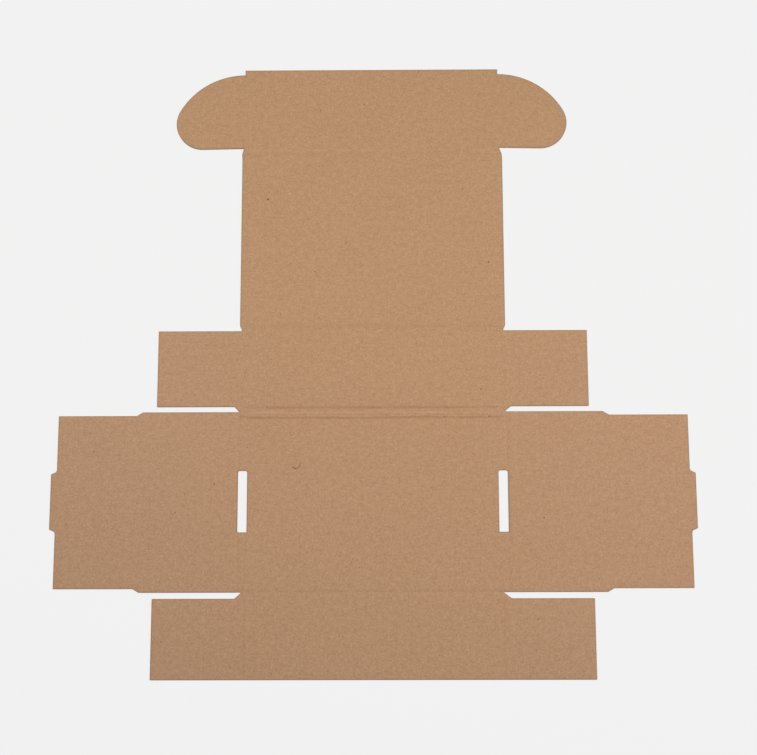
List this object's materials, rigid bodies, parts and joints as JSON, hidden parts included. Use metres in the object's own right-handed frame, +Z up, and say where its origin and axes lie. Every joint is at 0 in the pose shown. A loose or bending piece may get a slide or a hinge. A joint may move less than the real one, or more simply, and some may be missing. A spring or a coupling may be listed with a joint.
{
  "type": "mailer box blank",
  "caption": "Flat die-cut blank of a small corrugated mailing box, with tuck flap and ears, dust flaps, roll-over side walls, lock slots and tabs, and pressed creases.",
  "frame": {"origin": "middle of the underside's outline box, on the surface that the blank lies on", "axes": "+X across the blank from tab to tab, +Y from the front wall to the tuck flap, +Z up out of the creased face"},
  "size_m": [0.3026, 0.2922, 0.0016],
  "materials": {
    "kraft_board": "matt brown kraft board with faint flute ribs, darker flecks and pressed creases"
  },
  "bodies": {
    "root": {"mailer_blank": "kraft_board"}
  },
  "joints": []
}
